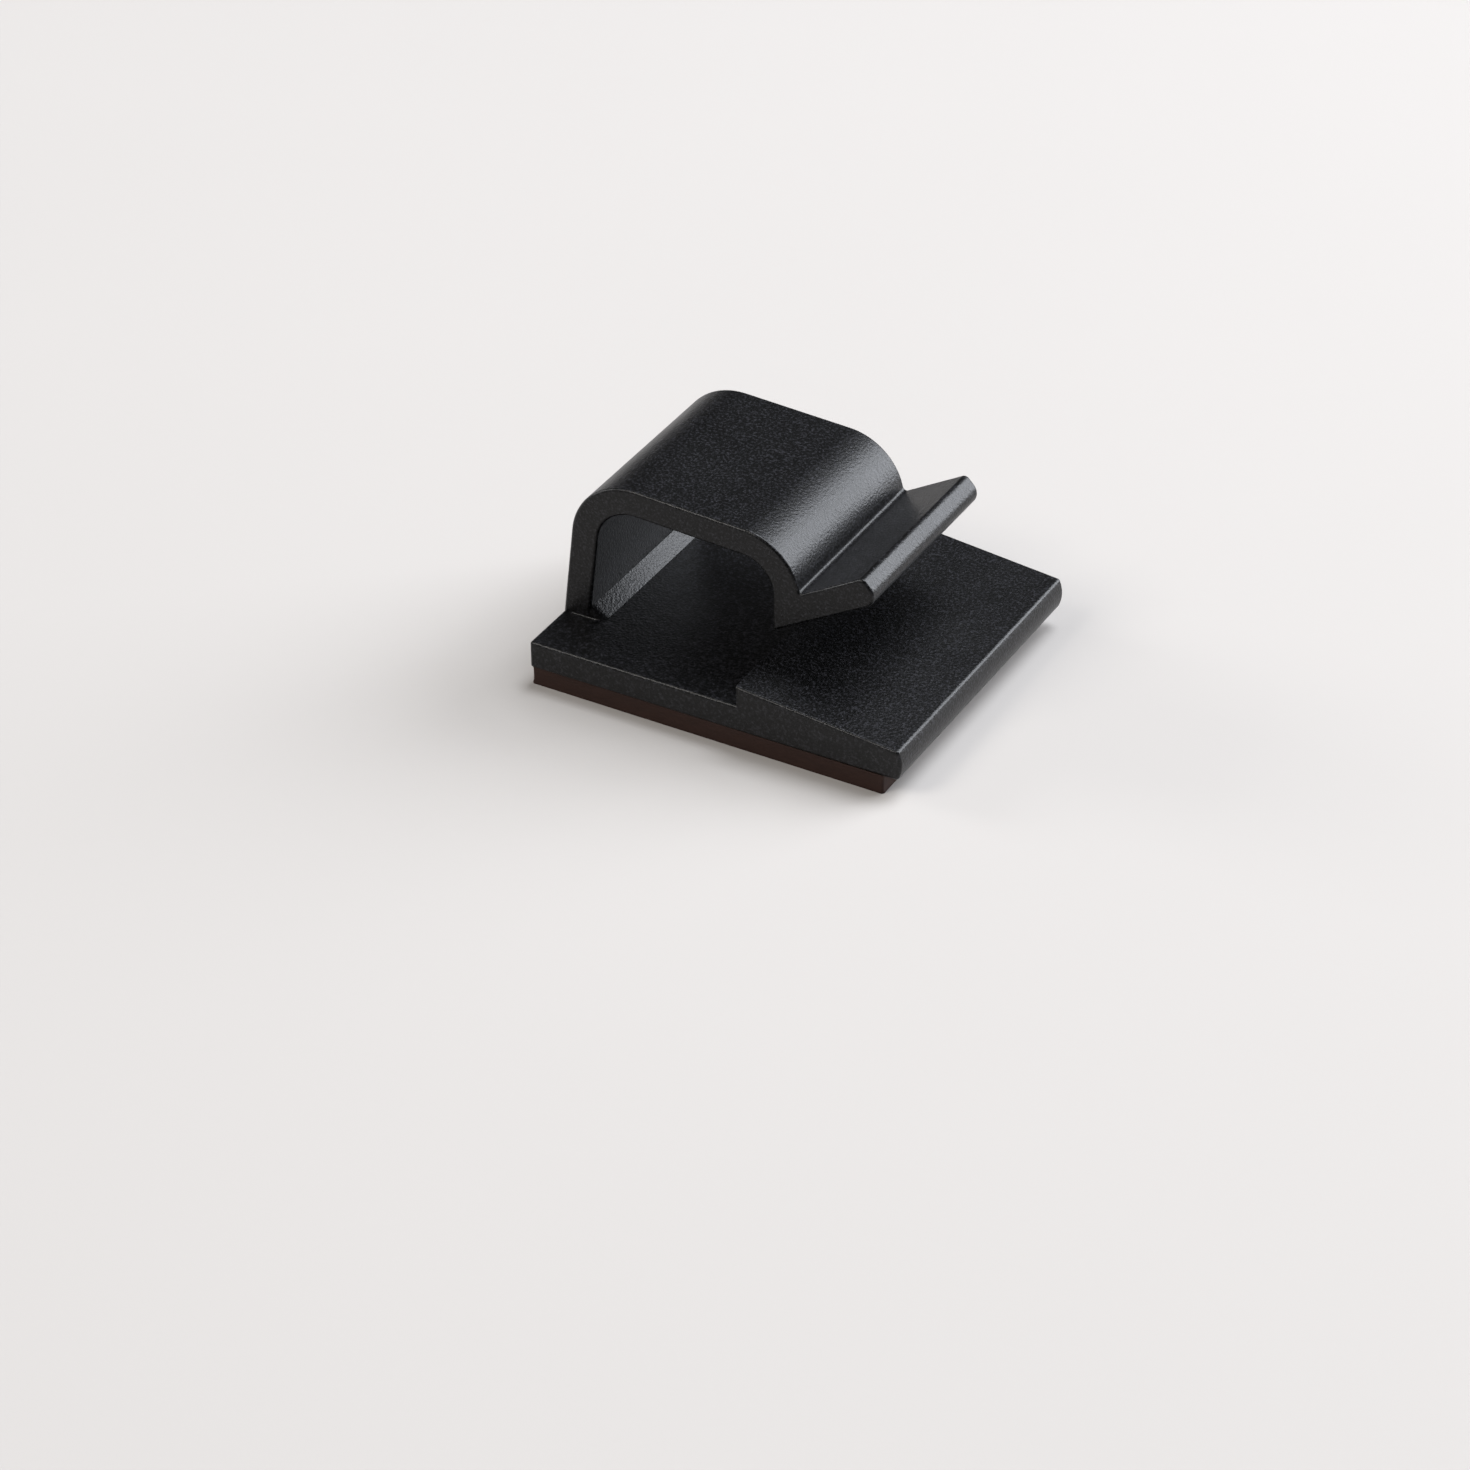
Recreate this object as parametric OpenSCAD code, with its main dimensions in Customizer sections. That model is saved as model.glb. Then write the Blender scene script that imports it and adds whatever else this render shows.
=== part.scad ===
// Self-adhesive cable clip: a plastic hook moulded on a small base plate, on a foam pad.
// X runs across the clip, from the wall of the hook to its open side. Y runs along the cable.
// Z is up. The origin is below the centre of the plate, on the flat surface that the pad sticks to.

/* [Base plate] */
// Width of the base plate along X, across the cable
base_w = 17.6; // [15.6:0.1:30]
// Depth of the base plate along Y, along the cable
base_d = 15; // [10:0.5:40]
// Thickness of the flat floor under the hook
floor_t = 1.2; // [0.8:0.1:2.5]
// Distance from the wall side of the plate to the step that keeps the cable in
step_x = 9.9; // [6:0.1:10]
// Height of the step above the floor
step_h = 0.95; // [0.3:0.05:1.5]
// Thickness of the plate at the low end of the ramp
ramp_end_t = 1.4; // [1:0.05:1.8]
// How far the end face of the ramp bulges outwards in the middle of its height
end_bulge = 0.17; // [0.05:0.01:0.5]

/* [Adhesive pad] */
// Thickness of the foam pad
pad_t = 0.9; // [0.5:0.1:2]
// How far the pad stays inside the plate at the wall side
pad_inset_wall = 0.05; // [0:0.05:2]
// How far the pad stays inside the plate at the open side
pad_inset_open = 0.8; // [0:0.1:2]
// How far the pad stays inside the plate at each end of Y
pad_inset_y = 0.05; // [0:0.05:2]

/* [Hook] */
// Depth of the hook along Y, centred on the plate
hook_d = 9.4; // [4:0.1:10]
// Height of the top of the hook above the underside of the plate
hook_h = 8.1; // [7.7:0.1:10]
// Thickness of the wall, the roof and the lip
wall_t = 1.25; // [0.9:0.05:1.5]
// Lean of the wall towards the open side, in degrees
wall_lean = 6.5; // [0:0.5:10]
// Fall of the roof towards the open side, in degrees
roof_fall = 2.8; // [0:0.2:6]
// Inner radius of the bend between the wall and the roof
wall_bend_r = 1.8; // [0.8:0.1:2]
// Inner radius of the bend between the roof and the leg
leg_bend_r = 1.55; // [1:0.05:1.6]
// Distance from the wall side of the plate to the inner face of the leg
leg_x = 10.1; // [9.5:0.1:11]
// Gap between the tip of the leg and the ramp, which a cable is pushed through
entry_gap = 1.2; // [0.6:0.1:1.4]
// Height of the chamfer inside the foot of the wall
foot_rise = 0.5; // [0.2:0.05:1]
// Width of that chamfer along the floor
foot_run = 0.75; // [0.2:0.05:1]

/* [Lip] */
// Rise of the lip, in degrees
lip_rise = 30; // [24:1:34]
// Length of the underside of the lip, from the tip of the leg to its end face
lip_l = 5.8; // [3.5:0.1:6]
// Direction that the end face of the lip looks in, in degrees above level
lip_face = 44; // [30:1:60]
// Radius of the upper edge of the lip's end
lip_upper_r = 0.25; // [0.05:0.05:0.3]
// Radius of the lower edge of the lip's end
lip_lower_r = 0.6; // [0.1:0.05:0.6]
// Radius in the bottom of the groove between the hook and the lip
groove_r = 0.15; // [0.05:0.05:0.4]

/* [Hidden] */
// Turn between two neighbouring points on a rounded stretch, in degrees
arc_step = 5;
// How far the wall of the hook reaches into the plate, so that the two are one solid
root = 0.5;

// Outer radii of the two bends
wall_bend_out = wall_bend_r + wall_t;
leg_bend_out = leg_bend_r + wall_t;
// Heights above the underside of the pad
plate_z = pad_t;
floor_z = plate_z + floor_t;
step_z = floor_z + step_h;
ramp_end_z = plate_z + ramp_end_t;
hook_z = plate_z + hook_h;
// Places along X, from the centre of the plate
wall_x = -base_w / 2;
ramp_end_x = base_w / 2;
step_face_x = wall_x + step_x;
ramp_corner_x = ramp_end_x - end_bulge;
leg_in_x = wall_x + leg_x;
leg_out_x = leg_in_x + wall_t;
// Slope of the ramp, which falls from the step to the end of the plate
ramp_fall = atan((step_z - ramp_end_z) / (ramp_corner_x - step_face_x));
// Radius of the bulging end face, from its height and its bulge
end_r = (pow(ramp_end_t / 2, 2) + pow(end_bulge, 2)) / (2 * end_bulge);

// A unit vector in the direction of an angle above +X
function toward(angle) = [cos(angle), sin(angle)];
// Points on a circle, from one angle to another, either way round
function arc(centre, radius, from, to) =
    let (sides = max(2, ceil(abs(to - from) / arc_step)))
    [for (i = [0:sides]) centre + radius * toward(from + (to - from) * i / sides)];
// Height of the ramp at a place along X
function ramp_at(x) = ramp_end_z + (ramp_corner_x - x) * tan(ramp_fall);
// A point on the wall: rise goes up its outer face, and inset goes in from that face
function on_wall(rise, inset) =
    [wall_x, floor_z] + rise * toward(90 - wall_lean) + inset * toward(-wall_lean);

// Directions that the outer faces of the wall and the roof look in
wall_out = 180 - wall_lean;
roof_out = 90 - roof_fall;
// The wall rises until its bend reaches the top of the hook
wall_rise = (hook_z - wall_bend_out - floor_z + wall_bend_out * sin(wall_lean)) / cos(wall_lean);
wall_bend_c = on_wall(wall_rise, wall_bend_out);
// The second bend touches the line of the roof and the outer face of the leg
leg_bend_x = leg_out_x - leg_bend_out;
roof_run = leg_bend_x - wall_bend_c.x;
roof_drop = (roof_run * sin(roof_fall) - wall_bend_out + leg_bend_out) / cos(roof_fall);
leg_bend_c = [leg_bend_x, wall_bend_c.y - roof_drop];

// The lip rises from the tip of the leg to an end face that has its own direction
tip = [leg_in_x, ramp_at(leg_in_x) + entry_gap];
lip_along = toward(lip_rise);
lip_up = toward(lip_rise + 90);
lip_end_low = tip + lip_l * lip_along;
lip_end_high = lip_end_low + wall_t / cos(lip_face - lip_rise) * toward(lip_face + 90);
// The two radii at its end are limited by the thickness of the lip
upper_r = min(lip_upper_r, wall_t / 4);
lower_r = min(lip_lower_r, wall_t / 2);
// Centre of a rounding at a corner of the lip's end, one radius inside the two faces that meet there.
// The outline turns by the angle turn at the corner, and the lip's long face looks towards out.
function lip_round(corner, radius, turn, out) =
    corner - radius * tan(turn / 2) * lip_along - radius * out;
upper_c = lip_round(lip_end_high, upper_r, lip_rise + 90 - lip_face, lip_up);
lower_c = lip_round(lip_end_low, lower_r, lip_face - lip_rise + 90, -lip_up);
// Centre of the groove's rounding, one radius outside the bend and above the lip
groove_h = (tip - leg_bend_c) * lip_up + wall_t + groove_r;
groove_run = sqrt(pow(leg_bend_out + groove_r, 2) - pow(groove_h, 2));
groove_c = leg_bend_c + groove_h * lip_up + groove_run * lip_along;
// Direction from the centre of the bend to the centre of the groove's rounding
groove_out = atan2(groove_c.y - leg_bend_c.y, groove_c.x - leg_bend_c.x);

// The plate seen along the cable: a flat floor, a step, and a ramp with a bulging end face
module plate_outline() {
    end_c = [ramp_end_x - end_r, plate_z + ramp_end_t / 2];
    end_turn = asin(ramp_end_t / 2 / end_r);
    polygon(concat(
        [[step_face_x, step_z], [step_face_x, floor_z], [wall_x, floor_z], [wall_x, plate_z]],
        arc(end_c, end_r, -end_turn, end_turn)
    ));
}

// The hook seen along the cable: over the outside from the wall to the lip, then back inside
module hook_outline() {
    foot = [wall_x + wall_t / cos(wall_lean), floor_z];
    polygon(concat(
        [on_wall(0, 0)],
        arc(wall_bend_c, wall_bend_out, wall_out, roof_out),
        arc(leg_bend_c, leg_bend_out, roof_out, groove_out),
        arc(groove_c, groove_r, groove_out + 180, lip_rise + 270),
        arc(upper_c, upper_r, lip_rise + 90, lip_face),
        arc(lower_c, lower_r, lip_face, lip_rise - 90),
        [tip],
        arc(leg_bend_c, leg_bend_r, 0, roof_out),
        arc(wall_bend_c, wall_bend_r, roof_out, wall_out),
        [foot + foot_rise * [tan(wall_lean), 1], foot + [foot_run, 0], foot + [foot_run, -root]]
    ));
}

// Draws an outline in X and Z out along Y, about the middle of the plate
module along_cable(depth) {
    rotate([90, 0, 0])
        linear_extrude(height = depth, center = true)
            children();
}

// The plastic moulding: the base plate and the hook, in one piece
module clip_body() {
    color("#26262a")
        union() {
            along_cable(base_d) plate_outline();
            along_cable(hook_d) hook_outline();
        }
}

// The foam pad, a plain block a little smaller than the plate
module adhesive_pad() {
    color("#2e2220")
        translate([wall_x + pad_inset_wall, pad_inset_y - base_d / 2, 0])
            cube([base_w - pad_inset_wall - pad_inset_open, base_d - 2 * pad_inset_y, pad_t]);
}

clip_body();
adhesive_pad();
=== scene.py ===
"""Visual model of the adhesive cable clip: a black nylon moulding on a foam pad, on a pale stage."""

import math

import bpy
from mathutils import Matrix, Vector


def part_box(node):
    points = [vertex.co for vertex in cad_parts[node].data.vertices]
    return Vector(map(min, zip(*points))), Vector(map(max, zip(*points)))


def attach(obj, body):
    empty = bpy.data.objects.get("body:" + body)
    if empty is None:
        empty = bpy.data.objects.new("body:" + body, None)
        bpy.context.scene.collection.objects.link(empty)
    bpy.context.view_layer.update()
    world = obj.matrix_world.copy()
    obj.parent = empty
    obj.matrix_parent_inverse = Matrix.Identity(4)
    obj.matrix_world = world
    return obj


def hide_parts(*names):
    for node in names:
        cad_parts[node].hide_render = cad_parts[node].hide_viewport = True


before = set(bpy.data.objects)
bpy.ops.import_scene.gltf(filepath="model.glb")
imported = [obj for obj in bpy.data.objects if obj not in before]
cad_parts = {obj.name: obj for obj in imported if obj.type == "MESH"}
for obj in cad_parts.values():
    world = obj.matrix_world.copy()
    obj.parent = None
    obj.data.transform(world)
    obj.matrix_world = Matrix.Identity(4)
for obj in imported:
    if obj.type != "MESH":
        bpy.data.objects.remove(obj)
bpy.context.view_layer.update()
PLATE_LOW, PLATE_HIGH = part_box("clip_body")
PAD_LOW, PAD_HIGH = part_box("adhesive_pad")

bl_info = {
    "name": "Adhesive cable clip",
    "version": (1, 0, 0),
    "blender": (4, 5, 0),
    "location": "3D View > Sidebar > Cable clip",
    "description": "Models a small self-adhesive cable clip and its stage",
    "category": "Add Mesh",
}

# The pieces are modelled in millimetres and brought to metres when they are finished.
MM = 0.001
# Turn between two neighbouring points on a rounded stretch of an outline, in degrees
ARC_STEP = 3
# How far the hook reaches into the plate before the two are joined, in millimetres
ROOT = 0.5
# Draft on the ends of the foot, from the floor up
FOOT_DRAFT = 0.05
# Points closer than this are one point, in millimetres
SAME_POINT = 1e-4


# Sizes and colours that a user would change

def linear(colour):
    """Turns an sRGB hex value into the linear red, green and blue that Blender works in."""
    parts = [int(colour[i:i + 2], 16) / 255 for i in (1, 3, 5)]
    return tuple(c / 12.92 if c <= 0.04045 else ((c + 0.055) / 1.055) ** 2.4 for c in parts)


def length(name, description, default):
    """A length in metres with an annotation's settings filled in."""
    return bpy.props.FloatProperty(
        name=name, description=description, default=default, min=0, precision=5, unit="LENGTH")


def turn(name, description, degrees):
    """An angle, shown in degrees."""
    return bpy.props.FloatProperty(
        name=name, description=description, default=math.radians(degrees), subtype="ANGLE")


def colour(name, description, default):
    """A colour from an sRGB hex value."""
    return bpy.props.FloatVectorProperty(
        name=name, description=description, default=linear(default), min=0, max=1, subtype="COLOR")


class ClipSizes(bpy.types.PropertyGroup):
    """Sizes of the clip"""
    base_w: length("Plate width", "Width of the base plate across the cable", PLATE_HIGH.x - PLATE_LOW.x)
    base_d: length("Plate depth", "Depth of the base plate along the cable", PLATE_HIGH.y - PLATE_LOW.y)
    pad_t: length("Pad thickness", "Thickness of the foam pad", PAD_HIGH.z - PAD_LOW.z)
    pad_w: length("Pad width", "Width of the foam pad across the cable", PAD_HIGH.x - PAD_LOW.x)
    pad_d: length("Pad depth", "Depth of the foam pad along the cable", PAD_HIGH.y - PAD_LOW.y)
    floor_t: length("Floor", "Thickness of the flat floor under the hook", 0.0012)
    step_x: length("Step place", "Distance from the wall side of the plate to the step", 0.0099)
    step_h: length("Step height", "Height of the step above the floor", 0.00095)
    ramp_end_t: length("Ramp end", "Thickness of the plate at the low end of the ramp", 0.0014)
    end_bulge: length("End bulge", "How far the end face of the ramp bulges outwards", 0.00017)
    end_edge_r: length("End edge", "Radius of the two edges of that end face", 0.00016)
    hook_d: length("Hook depth", "Depth of the hook along the cable", 0.0094)
    hook_top: length("Hook top", "Height of the top of the hook above the pad's lower face", PLATE_HIGH.z)
    wall_t: length("Wall", "Thickness of the wall, the roof and the lip", 0.00125)
    wall_lean: turn("Wall lean", "Lean of the wall towards the open side", 6.5)
    roof_fall: turn("Roof fall", "Fall of the roof towards the open side", 2.8)
    wall_bend_r: length("Wall bend", "Inner radius of the bend between wall and roof", 0.0018)
    leg_bend_r: length("Leg bend", "Inner radius of the bend between roof and leg", 0.00155)
    leg_x: length("Leg place", "Distance from the wall side to the inner face of the leg", 0.0101)
    entry_gap: length("Entry gap", "Gap between the tip of the leg and the ramp", 0.0012)
    foot_rise: length("Foot chamfer height", "Height of the chamfer inside the foot of the wall", 0.0005)
    foot_run: length("Foot chamfer width", "Width of that chamfer along the floor", 0.00075)
    foot_corner_r: length("Foot corners", "Radius of the foot's corners, seen from above", 0.00045)
    foot_fillet_r: length("Foot fillet", "Radius between the floor and the ends of the foot", 0.00006)
    lip_rise: turn("Lip rise", "Rise of the lip above level", 30)
    lip_l: length("Lip length", "Length of the underside of the lip", 0.0058)
    lip_face: turn("Lip end", "Direction that the end face of the lip looks in", 44)
    lip_upper_r: length("Lip upper edge", "Radius of the upper edge of the lip's end", 0.00025)
    lip_lower_r: length("Lip lower edge", "Radius of the lower edge of the lip's end", 0.0006)
    groove_r: length("Groove", "Radius in the groove between the hook and the lip", 0.00015)
    edge_r: length("Edge break", "Radius of the small rounding on the moulding's edges", 0.00014)
    pad_corner_r: length("Pad corners", "Radius of the die-cut corners of the foam pad", 0.00012)
    pad_skin_t: length("Adhesive skin", "Thickness of the adhesive on each face of the foam", 0.00007)
    pad_waist: length("Pad waist", "How far the cut edge of the foam pulls in halfway up", 0.00002)


class ClipColours(bpy.types.PropertyGroup):
    """Colours of the clip and its stage"""
    plastic: colour("Plastic", "Black of the moulded nylon", "#0F0F11")
    # The brown cast of the foam colour is painted warm reflected light; the foam itself is black.
    foam: colour("Foam", "Brown-black of the foam tape", "#301E18")
    adhesive: colour("Adhesive", "Brown-black of the adhesive on the foam", "#2A1A16")
    floor: colour("Floor", "Pale floor that the clip stands on", "#B6B2AE")


# Modelling helpers

def toward(degrees):
    """A unit vector in X and Z, in the direction of an angle above +X."""
    return Vector((math.cos(math.radians(degrees)), math.sin(math.radians(degrees))))


def edit(piece):
    """Starts edit mode on one piece, with nothing selected in it."""
    bpy.ops.object.select_all(action="DESELECT")
    piece.select_set(True)
    bpy.context.view_layer.objects.active = piece
    bpy.ops.object.mode_set(mode="EDIT")
    bpy.ops.mesh.select_all(action="DESELECT")


def solid_from_outline(name, depth, start, strokes):
    """Draws an outline in X and Z from a single vertex, fills it and draws it out along Y.
    A stroke is a point to draw a line to, or a centre and a turn in degrees to draw an arc."""
    near = -depth / 2
    bpy.ops.object.select_all(action="DESELECT")
    bpy.ops.mesh.primitive_plane_add(size=1, location=(start[0], near, start[1]))
    piece = bpy.context.object
    piece.name = piece.data.name = name
    bpy.ops.object.transform_apply(location=True, rotation=True, scale=True)
    edit(piece)
    bpy.ops.mesh.select_all(action="SELECT")
    bpy.ops.mesh.merge(type="CENTER")
    at = Vector(start)
    for stroke in strokes:
        if len(stroke) == 2 and not isinstance(stroke[0], Vector):
            stroke = Vector(stroke)
        if isinstance(stroke, Vector):
            step = stroke - at
            bpy.ops.mesh.extrude_region_move(TRANSFORM_OT_translate={"value": (step.x, 0, step.y)})
            at = stroke
        else:
            centre, degrees = stroke
            bpy.ops.mesh.spin(
                steps=max(2, math.ceil(abs(degrees) / ARC_STEP)), angle=math.radians(degrees),
                center=(centre.x, near, centre.y), axis=(0, 1, 0))
            arm = at - centre
            at = centre + arm.length * toward(math.degrees(math.atan2(arm.y, arm.x)) + degrees)
    bpy.ops.mesh.select_all(action="SELECT")
    bpy.ops.mesh.remove_doubles(threshold=SAME_POINT)
    bpy.ops.mesh.edge_face_add()
    bpy.ops.mesh.extrude_region_move(TRANSFORM_OT_translate={"value": (0, depth, 0)})
    bpy.ops.mesh.select_all(action="SELECT")
    bpy.ops.mesh.normals_make_consistent(inside=False)
    bpy.ops.object.mode_set(mode="OBJECT")
    return piece


def block_from_outlines(name, corner_r, cuts, outlines):
    """Builds a block with rounded corners from level outlines, the lowest first. An outline is its
    height, its lowest X, its highest X and half its depth. Cuts split each long side evenly."""
    height, left, right, half = outlines[0]
    middle = (left + right) / 2
    bpy.ops.object.select_all(action="DESELECT")
    bpy.ops.mesh.primitive_plane_add(size=1, location=(middle, 0, height))
    piece = bpy.context.object
    piece.name = piece.data.name = name
    piece.scale = (right - left, 2 * half, 1)
    bpy.ops.object.transform_apply(location=True, rotation=True, scale=True)
    edit(piece)
    bpy.ops.mesh.select_all(action="SELECT")
    bpy.ops.mesh.bevel(offset=corner_r, segments=6, affect="VERTICES")
    bpy.ops.mesh.select_mode(type="EDGE")
    bpy.ops.mesh.select_all(action="DESELECT")
    bpy.ops.object.mode_set(mode="OBJECT")
    for edge in piece.data.edges:
        one, other = (piece.data.vertices[i].co for i in edge.vertices)
        edge.select = (one - other).length > 2 * corner_r
    bpy.ops.object.mode_set(mode="EDIT")
    bpy.ops.mesh.subdivide(number_cuts=cuts)
    bpy.ops.mesh.select_mode(type="FACE")
    bpy.ops.mesh.select_all(action="SELECT")
    for new_height, new_left, new_right, new_half in outlines[1:]:
        new_middle = (new_left + new_right) / 2
        bpy.ops.mesh.extrude_region_move(
            TRANSFORM_OT_translate={"value": (new_middle - middle, 0, new_height - height)})
        bpy.ops.transform.resize(
            value=((new_right - new_left) / (right - left), new_half / half, 1),
            center_override=(new_middle, 0, new_height))
        height, left, right, half, middle = new_height, new_left, new_right, new_half, new_middle
    bpy.ops.mesh.select_all(action="SELECT")
    bpy.ops.mesh.normals_make_consistent(inside=False)
    bpy.ops.object.mode_set(mode="OBJECT")
    return piece


def apply_modifier(piece, kind, **settings):
    """Adds one modifier to a piece and applies it."""
    bpy.ops.object.select_all(action="DESELECT")
    piece.select_set(True)
    bpy.context.view_layer.objects.active = piece
    modifier = piece.modifiers.new(kind.title(), kind)
    for name, value in settings.items():
        setattr(modifier, name, value)
    bpy.ops.object.modifier_apply(modifier=modifier.name)


def bevel_outer_edges(piece, radius, segments, sharper_than, above, sharp_at):
    """Rounds every edge that stands out, turns by more than an angle in degrees and reaches above
    a height. An edge along Y through the point sharp_at, in X and Z, stays sharp."""
    mesh = piece.data
    faces_at = {}
    for face in mesh.polygons:
        for key in face.edge_keys:
            faces_at.setdefault(key, []).append(face)
    chosen = set()
    for key, (one, other) in faces_at.items():
        ends = [mesh.vertices[index].co for index in key]
        stands_out = (other.center - ends[0]).dot(one.normal) < 0
        sharp = one.normal.angle(other.normal) > math.radians(sharper_than)
        high = max(end.z for end in ends) > above + SAME_POINT
        kept = all((end.xz - Vector(sharp_at)).length < SAME_POINT for end in ends)
        if stands_out and sharp and high and not kept:
            chosen.add(key)
    edit(piece)
    bpy.ops.mesh.select_mode(type="EDGE")
    bpy.ops.object.mode_set(mode="OBJECT")
    for edge in mesh.edges:
        edge.select = edge.key in chosen
    bpy.ops.object.mode_set(mode="EDIT")
    bpy.ops.mesh.bevel(offset=radius, segments=segments, profile=0.5, affect="EDGES", clamp_overlap=False)
    bpy.ops.object.mode_set(mode="OBJECT")


def finish_piece(piece, node, *materials):
    """Brings a piece to metres at the origin, checks that it is closed, and puts it on the frame."""
    bpy.ops.object.select_all(action="DESELECT")
    piece.select_set(True)
    bpy.context.view_layer.objects.active = piece
    bpy.ops.object.shade_smooth_by_angle(angle=math.radians(35))
    apply_modifier(piece, "WEIGHTED_NORMAL", keep_sharp=True, weight=50)
    piece.scale = (MM, MM, MM)
    bpy.ops.object.transform_apply(location=True, rotation=True, scale=True)
    sides = {}
    for face in piece.data.polygons:
        for edge in face.edge_keys:
            sides[edge] = sides.get(edge, 0) + 1
    if len(sides) != len(piece.data.edges) or set(sides.values()) != {2}:
        raise RuntimeError(f"{piece.name} isn't a closed mesh")
    piece.data.materials.clear()
    for material in materials:
        piece.data.materials.append(material)
    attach(piece, "root")
    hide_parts(node)


# Materials

def add_node(tree, kind, inputs=None, **settings):
    """Adds one node. An input is a number, a colour or another node's output."""
    made = tree.nodes.new(kind)
    for name, value in settings.items():
        setattr(made, name, value)
    for socket, value in (inputs or {}).items():
        if isinstance(value, bpy.types.NodeSocket):
            tree.links.new(value, made.inputs[socket])
        else:
            made.inputs[socket].default_value = value
    return made


def new_material(name):
    """An empty node material, with its shader and its object coordinates."""
    material = bpy.data.materials.new(name)
    material.use_nodes = True
    tree = material.node_tree
    tree.nodes.clear()
    place = add_node(tree, "ShaderNodeTexCoord").outputs["Object"]
    return material, tree, place


def shades(tint, dark, light):
    """Two shades of a colour, for the dark and the light end of a pattern."""
    return [(*(c * share for c in tint), 1) for share in (dark, light)]


def black_nylon(tint):
    """Moulded black nylon. The spark-eroded mould leaves a fine grain of shallow pits, so the sheen is satin. The
    colour breaks up into darker and lighter specks: the grain's own tone, and in the lighter specks also painted
    glints where the pits' facets catch the light."""
    material, tree, place = new_material("Black nylon, spark-eroded finish")
    # The pits of a spark-eroded mould are about 0.05 mm across. They are drawn at 0.10 mm and the
    # grit between them at 0.12 mm, because finer ones don't show in the picture.
    pits = add_node(tree, "ShaderNodeTexVoronoi", {"Vector": place, "Scale": 1 / (0.10 * MM)},
                    feature="SMOOTH_F1")
    grit = add_node(tree, "ShaderNodeTexNoise", {
        "Vector": place, "Scale": 1 / (0.12 * MM), "Detail": 2, "Roughness": 0.75})
    # Patches a few millimetres wide where the mould is worn smoother
    wear = add_node(tree, "ShaderNodeTexNoise", {
        "Vector": place, "Scale": 1 / (3 * MM), "Detail": 2, "Roughness": 0.5})
    height = add_node(tree, "ShaderNodeMix", {
        "Factor": 0.5, "A": pits.outputs["Distance"], "B": grit.outputs["Fac"]})
    bump = add_node(tree, "ShaderNodeBump", {
        "Strength": 0.7, "Distance": 0.03 * MM, "Height": height.outputs["Result"]})
    rough = add_node(tree, "ShaderNodeMapRange", {
        "Value": wear.outputs["Fac"], "From Min": 0.3, "From Max": 0.7, "To Min": 0.33, "To Max": 0.37})
    # Darker and lighter specks in the colour: the grain's own tone, with painted glints in the lighter ones where
    # the pits catch the light.
    grain_and_glints = add_node(tree, "ShaderNodeMapRange", {
        "Value": grit.outputs["Fac"], "From Min": 0.5, "From Max": 0.7})
    dark, light = shades(tint, 0.05, 5)
    shade = add_node(tree, "ShaderNodeMix", {
        "Factor": grain_and_glints.outputs["Result"], "A": dark, "B": light}, data_type="RGBA")
    # Nylon has an IOR of 1.53. The pits shade each other, so that the surface reflects as little as
    # a smooth one with a lower IOR.
    plastic = add_node(tree, "ShaderNodeBsdfPrincipled", {
        "Base Color": shade.outputs["Result"], "Roughness": rough.outputs["Result"], "IOR": 1.36,
        "Normal": bump.outputs["Normal"]})
    add_node(tree, "ShaderNodeOutputMaterial", {"Surface": plastic.outputs["BSDF"]})
    return material


def foam_tape(tint):
    """Black closed-cell acrylic foam tape, die-cut. The blade smears the cut edge, so it is smoother than the
    moulding above it, with faint closed cells. Its brown cast is painted warm reflected light on black foam."""
    material, tree, place = new_material("Black acrylic foam, die-cut edge")
    cells = add_node(tree, "ShaderNodeTexVoronoi", {"Vector": place, "Scale": 1 / (0.16 * MM)},
                     feature="SMOOTH_F1")
    # The blade drags the cells out into short streaks along the edge.
    drag = add_node(tree, "ShaderNodeMapping", {"Vector": place, "Scale": (0.3, 0.3, 1)})
    streaks = add_node(tree, "ShaderNodeTexNoise", {
        "Vector": drag.outputs["Vector"], "Scale": 1 / (0.18 * MM), "Detail": 2})
    height = add_node(tree, "ShaderNodeMix", {
        "Factor": 0.6, "A": cells.outputs["Distance"], "B": streaks.outputs["Fac"]})
    bump = add_node(tree, "ShaderNodeBump", {
        "Strength": 0.3, "Distance": 0.04 * MM, "Height": height.outputs["Result"]})
    dark, light = shades(tint, 0.75, 1.3)
    shade = add_node(tree, "ShaderNodeMix", {
        "Factor": streaks.outputs["Fac"], "A": dark, "B": light}, data_type="RGBA")
    foam = add_node(tree, "ShaderNodeBsdfPrincipled", {
        "Base Color": shade.outputs["Result"], "Roughness": 0.7, "IOR": 1.35,
        "Normal": bump.outputs["Normal"]})
    add_node(tree, "ShaderNodeOutputMaterial", {"Surface": foam.outputs["BSDF"]})
    return material


def adhesive_skin(tint):
    """Acrylic adhesive, coated on both faces of the foam. Its edge is smooth and a little glossier."""
    material, tree, place = new_material("Acrylic adhesive, coated")
    ripple = add_node(tree, "ShaderNodeTexNoise", {
        "Vector": place, "Scale": 1 / (0.4 * MM), "Detail": 1})
    bump = add_node(tree, "ShaderNodeBump", {
        "Strength": 0.2, "Distance": 0.03 * MM, "Height": ripple.outputs["Fac"]})
    dark, light = shades(tint, 0.85, 1.15)
    shade = add_node(tree, "ShaderNodeMix", {
        "Factor": ripple.outputs["Fac"], "A": dark, "B": light}, data_type="RGBA")
    adhesive = add_node(tree, "ShaderNodeBsdfPrincipled", {
        "Base Color": shade.outputs["Result"], "Roughness": 0.5, "IOR": 1.38,
        "Normal": bump.outputs["Normal"]})
    add_node(tree, "ShaderNodeOutputMaterial", {"Surface": adhesive.outputs["BSDF"]})
    return material


# Operators

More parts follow.
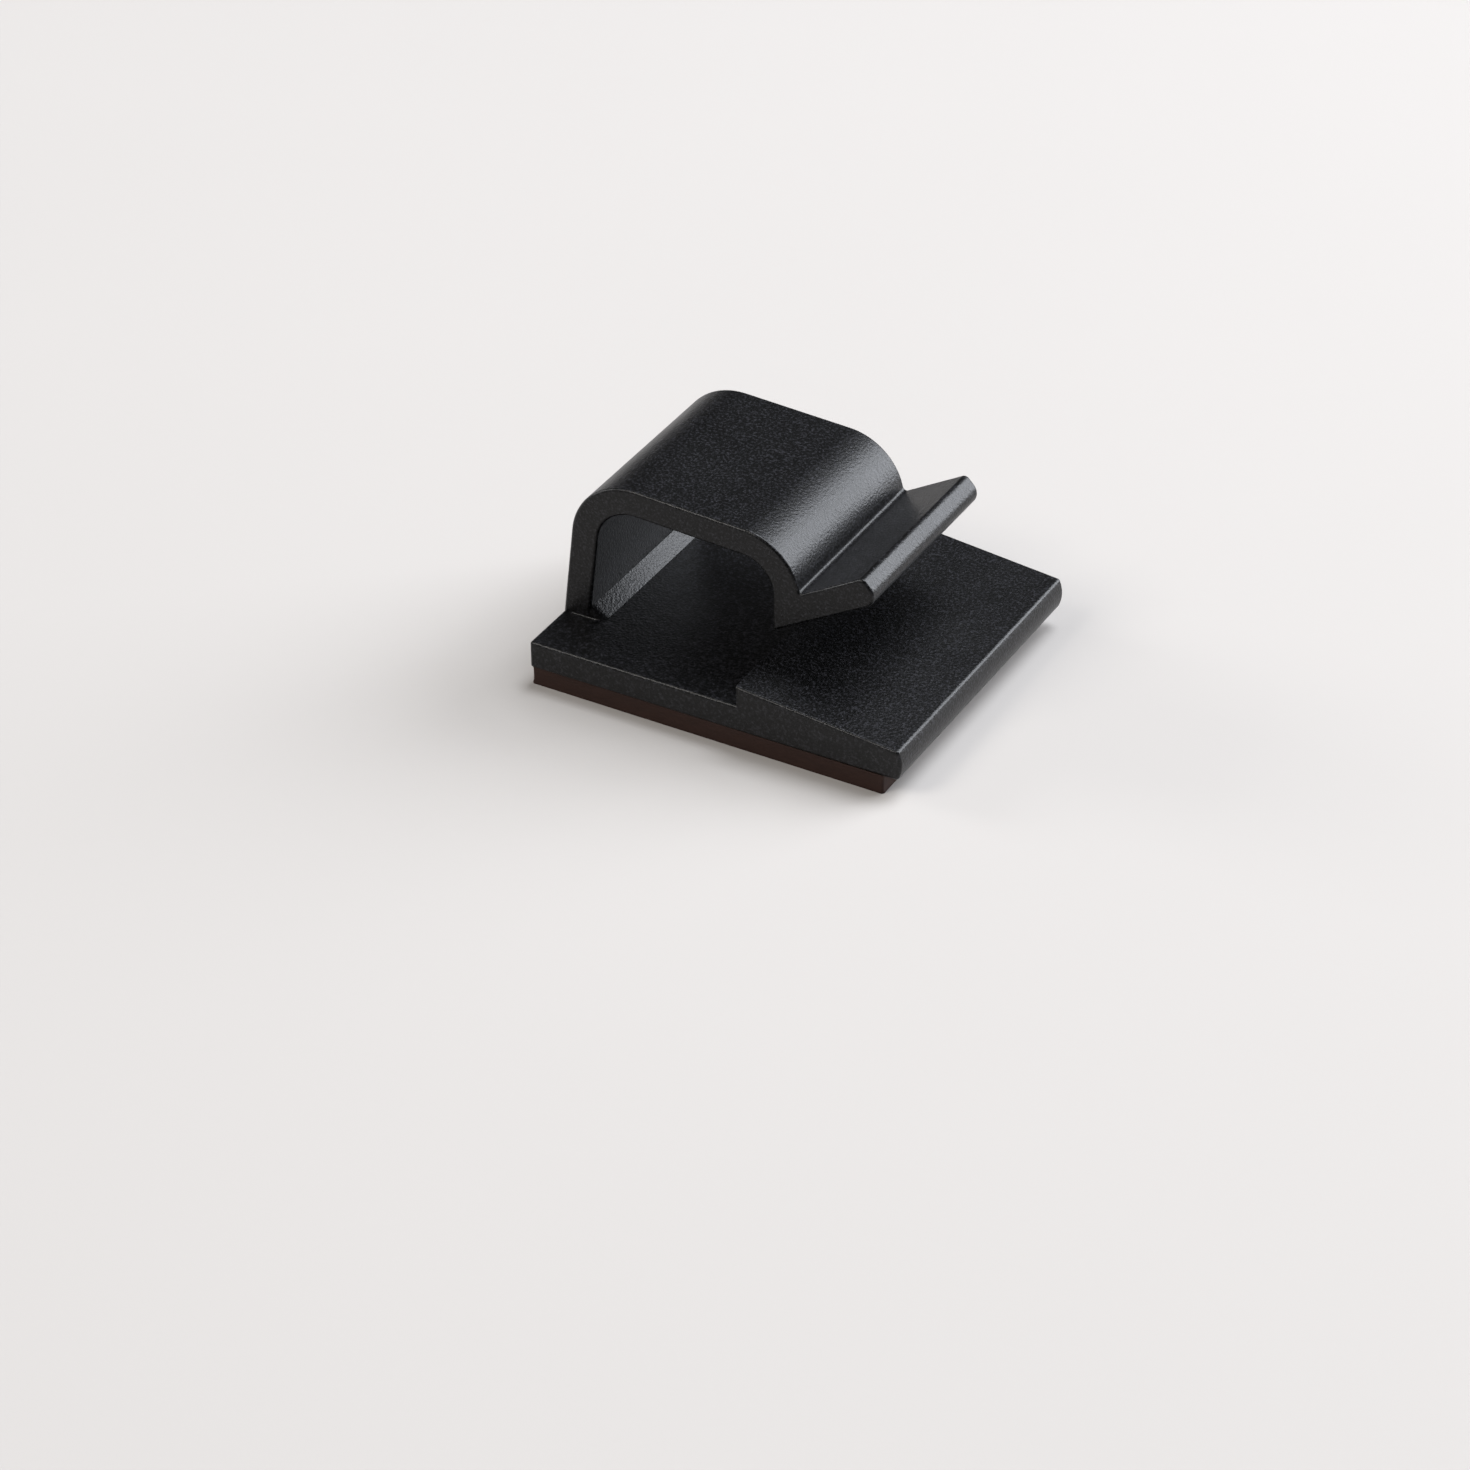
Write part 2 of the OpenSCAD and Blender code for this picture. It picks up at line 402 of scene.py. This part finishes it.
class CLIP_OT_moulding(bpy.types.Operator):
    """Models the base plate and the hook as one moulding"""
    bl_idname = "clip.moulding"
    bl_label = "Moulded clip"

    def execute(self, context):
        sizes = context.scene.clip_sizes
        mm = {name: getattr(sizes, name) / MM for name in ClipSizes.__annotations__}
        lean, fall, rise, face = (
            math.degrees(getattr(sizes, name)) for name in ("wall_lean", "roof_fall", "lip_rise", "lip_face"))
        wall_t = mm["wall_t"]
        plate_z = mm["pad_t"]
        floor_z = plate_z + mm["floor_t"]
        step_z = floor_z + mm["step_h"]
        wall_x, end_x = -mm["base_w"] / 2, mm["base_w"] / 2
        step_x = wall_x + mm["step_x"]
        leg_in_x = wall_x + mm["leg_x"]
        half_t, bulge = mm["ramp_end_t"] / 2, mm["end_bulge"]
        corner_x = end_x - bulge
        slope = (step_z - plate_z - 2 * half_t) / (corner_x - step_x)

        def ramp_at(x):
            return plate_z + 2 * half_t + (corner_x - x) * slope

        # The plate: a flat floor, a step, and a ramp with a bulging end face. Its two edges are rounded,
        # each about a centre that lies inside the flat face and inside the bulge.
        end_r = (half_t ** 2 + bulge ** 2) / (2 * bulge)
        end_c = Vector((end_x - end_r, plate_z + half_t))
        round_r = mm["end_edge_r"]
        ramp_out = 90 - math.degrees(math.atan(slope))
        low_in = half_t - round_r
        high_in = (Vector((corner_x, plate_z + 2 * half_t)) - end_c).dot(toward(ramp_out)) - round_r
        low_c = end_c + low_in * toward(-90) + math.sqrt((end_r - round_r) ** 2 - low_in ** 2) * toward(0)
        high_c = end_c + high_in * toward(ramp_out) + math.sqrt(
            (end_r - round_r) ** 2 - high_in ** 2) * toward(ramp_out - 90)
        low_turn, high_turn = (math.degrees(math.atan2(*reversed(c - end_c))) for c in (low_c, high_c))
        plate = solid_from_outline("clip_moulding", mm["base_d"], (step_x, step_z), [
            (step_x, floor_z), (wall_x, floor_z), (wall_x, plate_z),
            low_c + round_r * toward(-90), (low_c, 90 + low_turn), (end_c, high_turn - low_turn),
            (high_c, ramp_out - high_turn), (step_x, step_z)])

        # The hook: up the outside of the wall, over both bends, round the groove and the lip, and back
        wall_r, leg_r = mm["wall_bend_r"] + wall_t, mm["leg_bend_r"] + wall_t
        wall_out, roof_out = 180 - lean, 90 - fall

        def on_wall(up, inset):
            return Vector((wall_x, floor_z)) + up * toward(90 - lean) + inset * toward(-lean)

        wall_up = (mm["hook_top"] - wall_r - floor_z + wall_r * math.sin(math.radians(lean))) / math.cos(
            math.radians(lean))
        wall_c = on_wall(wall_up, wall_r)
        leg_c_x = leg_in_x + wall_t - leg_r
        drop = ((leg_c_x - wall_c.x) * math.sin(math.radians(fall)) - wall_r + leg_r) / math.cos(
            math.radians(fall))
        leg_c = Vector((leg_c_x, wall_c.y - drop))
        tip = Vector((leg_in_x, ramp_at(leg_in_x) + mm["entry_gap"]))
        along, up = toward(rise), toward(rise + 90)
        end_low = tip + mm["lip_l"] * along
        end_high = end_low + wall_t / math.cos(math.radians(face - rise)) * toward(face + 90)
        upper_r, lower_r = min(mm["lip_upper_r"], wall_t / 4), min(mm["lip_lower_r"], wall_t / 2)
        upper_c = end_high - upper_r * (math.tan(math.radians(rise + 90 - face) / 2) * along + up)
        lower_c = end_low - lower_r * (math.tan(math.radians(face - rise + 90) / 2) * along - up)
        groove_r = mm["groove_r"]
        height = (tip - leg_c).dot(up) + wall_t + groove_r
        groove_c = leg_c + height * up + math.sqrt((leg_r + groove_r) ** 2 - height ** 2) * along
        groove_out = math.degrees(math.atan2(groove_c.y - leg_c.y, groove_c.x - leg_c.x))
        foot = Vector((wall_x + wall_t / math.cos(math.radians(lean)), floor_z))
        root = Vector((0, -ROOT))
        hook = solid_from_outline("hook", mm["hook_d"], on_wall(0, 0) + root, [
            on_wall(0, 0), wall_c + wall_r * toward(wall_out), (wall_c, roof_out - wall_out),
            leg_c + leg_r * toward(roof_out), (leg_c, groove_out - roof_out),
            (groove_c, rise + 90 - groove_out),
            upper_c + upper_r * up, (upper_c, face - rise - 90),
            lower_c + lower_r * toward(face), (lower_c, rise - 90 - face),
            tip, leg_c + mm["leg_bend_r"] * toward(0), (leg_c, roof_out),
            wall_c + mm["wall_bend_r"] * toward(roof_out), (wall_c, wall_out - roof_out),
            foot, foot + root, on_wall(0, 0) + root])

        # The foot inside the wall: a chamfer with rounded corners, and a fillet at both ends of the wall.
        # It starts inside the plate and ends inside the wall.
        foot_rise, fillet_r = mm["foot_rise"], mm["foot_fillet_r"]
        chamfer = (mm["foot_run"] - foot_rise * math.tan(math.radians(lean))) / foot_rise
        outlines = []
        for up_by in (-ROOT / 2, *(fillet_r * (1 - math.cos(math.radians(a))) for a in range(0, 91, 15)),
                      0.6 * foot_rise, foot_rise, 1.1 * foot_rise):
            climb = max(up_by, 0)
            if climb < fillet_r:
                reach = fillet_r - math.sqrt(fillet_r ** 2 - (fillet_r - climb) ** 2)
            else:
                reach = FOOT_DRAFT * (fillet_r - climb)
            outlines.append((floor_z + up_by, wall_x + fillet_r, foot.x + mm["foot_run"] - chamfer * climb,
                             mm["hook_d"] / 2 + reach))
        foot_part = block_from_outlines("foot", mm["foot_corner_r"], 1, outlines)

        for part in (plate, hook):
            bevel_outer_edges(part, mm["edge_r"], 4, 30, plate_z, (step_x, step_z))
        for part in (hook, foot_part):
            apply_modifier(plate, "BOOLEAN", operation="UNION", solver="EXACT", object=part)
            bpy.data.objects.remove(part)
        edit(plate)
        bpy.ops.mesh.select_all(action="SELECT")
        bpy.ops.mesh.remove_doubles(threshold=SAME_POINT)
        bpy.ops.mesh.dissolve_limited(angle_limit=math.radians(0.5))
        bpy.ops.object.mode_set(mode="OBJECT")
        finish_piece(plate, "clip_body", black_nylon(context.scene.clip_colours.plastic))
        return {"FINISHED"}


class CLIP_OT_foam_pad(bpy.types.Operator):
    """Models the die-cut foam pad under the plate"""
    bl_idname = "clip.foam_pad"
    bl_label = "Foam pad"

    def execute(self, context):
        sizes = context.scene.clip_sizes
        deep, thick, skin_t, waist = (
            getattr(sizes, name) / MM for name in ("pad_d", "pad_t", "pad_skin_t", "pad_waist"))
        middle, wide = (PAD_LOW.x + PAD_HIGH.x) / 2 / MM, sizes.pad_w / MM
        # The foam pulls in between its two skins of adhesive, most of all halfway up.
        rings = [(0, 0), (skin_t, 0)]
        for step in range(9):
            share = step / 8
            rings.append((skin_t + share * (thick - 2 * skin_t), waist * (0.3 + 2.8 * share * (1 - share))))
        rings += [(thick - skin_t, 0), (thick, 0)]
        pad = block_from_outlines("foam_pad", sizes.pad_corner_r / MM, 56, [
            (height, middle - wide / 2 + pull, middle + wide / 2 - pull, deep / 2 - pull)
            for height, pull in rings])
        # The die leaves the cut edge a little uneven. Only the foam between the skins is moved.
        edge_points = pad.vertex_groups.new(name="cut edge")
        edge_points.add([v.index for v in pad.data.vertices if skin_t * 1.5 < v.co.z < thick - skin_t * 1.5],
                        1, "REPLACE")
        uneven = bpy.data.textures.new("Cut edge", "CLOUDS")
        uneven.noise_scale = 0.9
        apply_modifier(pad, "DISPLACE", texture=uneven, texture_coords="LOCAL", strength=waist,
                       mid_level=1, vertex_group="cut edge")
        for face in pad.data.polygons:
            face.material_index = 0 if skin_t < face.center.z < thick - skin_t else 1
        finish_piece(pad, "adhesive_pad", foam_tape(context.scene.clip_colours.foam),
                     adhesive_skin(context.scene.clip_colours.adhesive))
        return {"FINISHED"}


class CLIP_OT_stage(bpy.types.Operator):
    """Adds the floor, the lamps, the world and the camera"""
    bl_idname = "clip.stage"
    bl_label = "Stage"

    def execute(self, context):
        scene = context.scene
        bpy.ops.object.select_all(action="DESELECT")
        bpy.ops.mesh.primitive_plane_add(size=6, location=(0, 0, 0))
        floor = context.object
        floor.name = "floor"
        material, tree, place = new_material("Pale matt floor")
        mottle = add_node(tree, "ShaderNodeTexNoise", {"Vector": place, "Scale": 1 / (40 * MM), "Detail": 2})
        dark, light = shades(scene.clip_colours.floor, 0.985, 1.015)
        shade = add_node(tree, "ShaderNodeMix", {
            "Factor": mottle.outputs["Fac"], "A": dark, "B": light}, data_type="RGBA")
        matt = add_node(tree, "ShaderNodeBsdfPrincipled", {
            "Base Color": shade.outputs["Result"], "Roughness": 0.9})
        add_node(tree, "ShaderNodeOutputMaterial", {"Surface": matt.outputs["BSDF"]})
        floor.data.materials.append(material)

        # A lamp is aimed at the clip from a direction above it. Its glow is the brightness of its face.
        for name, azimuth, elevation, distance, width, height, glow, tint in (
                ("back softbox", 144, 27, 0.6, 0.34, 0.585, 9.8, "#F4F8FF"),
                ("front softbox", -35, 46, 0.8, 0.28, 0.28, 12, "#FFFBF6"),
                ("left softbox", -84, 22, 0.8, 0.25, 0.25, 9, "#FFFFFF"),
                ("top softbox", 158, 70, 0.7, 0.32, 0.32, 13, "#F4F8FF")):
            a, e = math.radians(azimuth), math.radians(elevation)
            back = Vector((math.sin(a) * math.cos(e), -math.cos(a) * math.cos(e), math.sin(e)))
            bpy.ops.object.light_add(type="AREA", location=back * distance)
            lamp = context.object
            lamp.name = name
            lamp.rotation_euler = back.to_track_quat("Z", "Y").to_euler()
            lamp.data.shape = "RECTANGLE"
            lamp.data.size, lamp.data.size_y = width, height
            lamp.data.color = linear(tint)
            lamp.data.energy = glow * math.pi * width * height

        world = bpy.data.worlds.new("Studio")
        scene.world = world
        world.use_nodes = True
        tree = world.node_tree
        tree.nodes.clear()
        sky = add_node(tree, "ShaderNodeBackground", {"Color": (*linear("#555556"), 1)})
        add_node(tree, "ShaderNodeOutputWorld", {"Surface": sky.outputs["Background"]})

        bpy.ops.object.camera_add(location=(0.07692, -0.14178, 0.10696))
        camera = context.object
        camera.name = "camera"
        turned = (Matrix.Rotation(math.radians(29.45), 3, "Z") @ Matrix.Rotation(math.radians(90 - 34.58), 3, "X")
                  @ Matrix.Rotation(math.radians(-0.195), 3, "Z"))
        camera.rotation_euler = turned.to_euler()
        camera.data.lens = 111.16
        camera.data.sensor_width = 36
        camera.data.clip_start = 0.01
        scene.camera = camera
        scene.view_settings.view_transform = "Standard"
        return {"FINISHED"}


class CLIP_PT_panel(bpy.types.Panel):
    """Lists the sizes, the colours and the operators"""
    bl_idname = "CLIP_PT_panel"
    bl_label = "Cable clip"
    bl_space_type = "VIEW_3D"
    bl_region_type = "UI"
    bl_category = "Cable clip"

    def draw(self, context):
        for group in (context.scene.clip_sizes, context.scene.clip_colours):
            column = self.layout.column()
            for name in type(group).__annotations__:
                column.prop(group, name)
        for operator in OPERATORS:
            self.layout.operator(operator.bl_idname)


OPERATORS = (CLIP_OT_moulding, CLIP_OT_foam_pad, CLIP_OT_stage)
CLASSES = (ClipSizes, ClipColours, *OPERATORS, CLIP_PT_panel)


def register():
    for made in CLASSES:
        bpy.utils.register_class(made)
    bpy.types.Scene.clip_sizes = bpy.props.PointerProperty(type=ClipSizes)
    bpy.types.Scene.clip_colours = bpy.props.PointerProperty(type=ClipColours)


def unregister():
    del bpy.types.Scene.clip_colours
    del bpy.types.Scene.clip_sizes
    for made in reversed(CLASSES):
        bpy.utils.unregister_class(made)


def main():
    register()
    bpy.ops.clip.moulding()
    bpy.ops.clip.foam_pad()
    bpy.ops.clip.stage()


if __name__ == "__main__":
    main()
